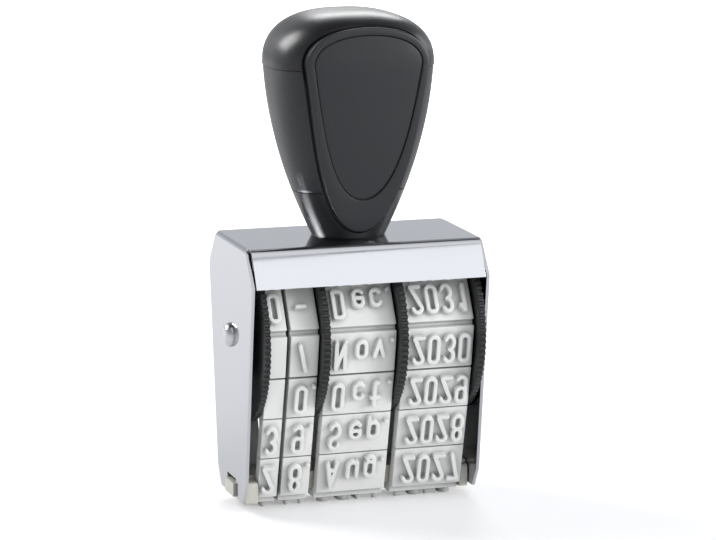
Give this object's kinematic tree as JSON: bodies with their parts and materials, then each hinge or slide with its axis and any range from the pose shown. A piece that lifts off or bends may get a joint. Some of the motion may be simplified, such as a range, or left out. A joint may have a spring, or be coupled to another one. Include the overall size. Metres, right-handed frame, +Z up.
{
  "type": "date stamp",
  "caption": "Hand date stamp: chromed folded frame with type bands on toothed thumb wheels over a platen, under a moulded black handle with a domed cap.",
  "frame": {"origin": "middle between the side plates, on the printing face of the lowest line of type", "axes": "+Z up along the handle, the front faces -Y, the axle of the thumb wheels lies along X"},
  "size_m": [0.0412, 0.028, 0.0791],
  "materials": {
    "chrome_plate": "bright chrome plate",
    "rivet_steel": "plated steel",
    "spring_steel": "plain spring steel",
    "wheel_plastic": "satin black",
    "band_rubber": "pale matt rubber",
    "platen_plastic": "pale matt plastic",
    "gloss_black": "polished black",
    "satin_black": "satin slate black"
  },
  "bodies": {
    "stamp": {"frame": "chrome_plate", "wheel_axle": "rivet_steel", "day_tens_band": "band_rubber", "day_units_band": "band_rubber", "month_band": "band_rubber", "year_band": "band_rubber", "platen_bar": "platen_plastic", "drum_spacer": "spring_steel", "left_washer": "spring_steel", "right_washer": "spring_steel", "handle_neck": "gloss_black", "handle_grip": "satin_black", "handle_cap": "gloss_black", "front_shield": "satin_black", "back_shield": "satin_black", "handle_screw": "rivet_steel", "screw_washer": "spring_steel"},
    "day_tens_turner": {"day_tens_wheel": "wheel_plastic"},
    "day_units_turner": {"day_units_wheel": "wheel_plastic"},
    "month_turner": {"month_wheel": "wheel_plastic"},
    "year_turner": {"year_wheel": "wheel_plastic"}
  },
  "joints": [
    {"name": "day_tens_turn", "type": "hinge", "parent": "stamp", "child": "day_tens_turner", "pos_m": [-0.01615, 0, 0.02782], "axis": [1, 0, 0], "continuous": true},
    {"name": "day_units_turn", "type": "hinge", "parent": "stamp", "child": "day_units_turner", "pos_m": [-0.0102, 0, 0.02782], "axis": [1, 0, 0], "continuous": true},
    {"name": "month_turn", "type": "hinge", "parent": "stamp", "child": "month_turner", "pos_m": [-0.00085, 0, 0.02782], "axis": [1, 0, 0], "continuous": true},
    {"name": "year_turn", "type": "hinge", "parent": "stamp", "child": "year_turner", "pos_m": [0.01205, 0, 0.02782], "axis": [1, 0, 0], "continuous": true}
  ]
}
